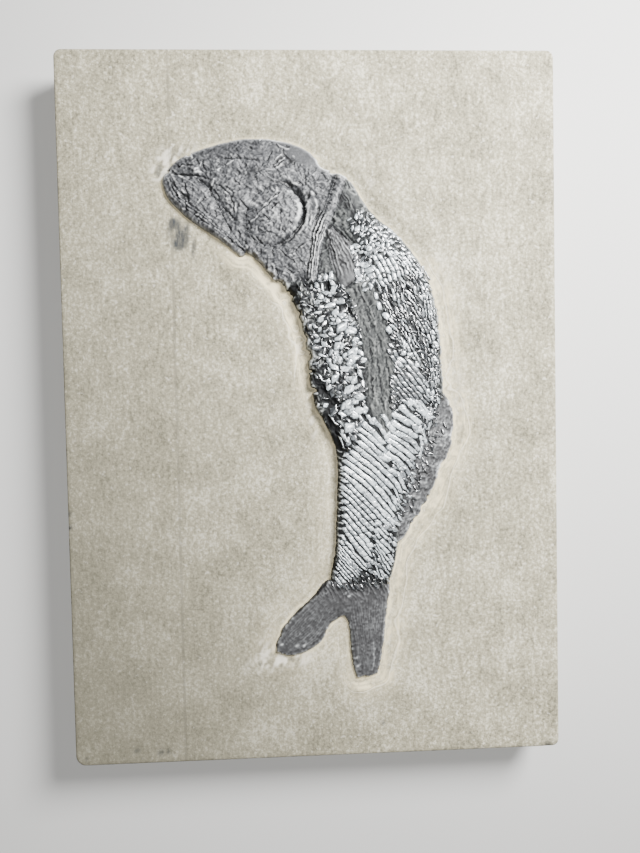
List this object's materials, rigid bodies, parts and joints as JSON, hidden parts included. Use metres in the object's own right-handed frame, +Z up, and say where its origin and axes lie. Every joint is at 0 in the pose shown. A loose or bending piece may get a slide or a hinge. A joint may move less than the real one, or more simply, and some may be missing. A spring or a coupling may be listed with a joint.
{
  "type": "fossil fish slab",
  "caption": "Rectangular slab of grey shale with a crushed, bow-shaped fossil fish in low relief: skull, jaw, gill cover, scale coat and fins.",
  "frame": {"origin": "middle of the slab's sawn underside, the face that it rests on", "axes": "+X across the slab, +Y along it towards the fish's head, +Z up, out of the face that shows the fish"},
  "size_m": [0.202, 0.29, 0.0274],
  "materials": {
    "shale": "sawn and rubbed, matte",
    "bone": "mineralised bone, satin",
    "scale": "enamelled scales, glossy",
    "fin": "mineralised fin rays, matte"
  },
  "bodies": {
    "root": {"slab": "shale", "skull": "bone", "lower_jaw": "bone", "gill_cover": "bone", "shoulder_bone": "bone", "scale_coat": "scale", "breast_fin": "fin", "back_fin": "fin", "tail_fin": "fin"}
  },
  "joints": []
}
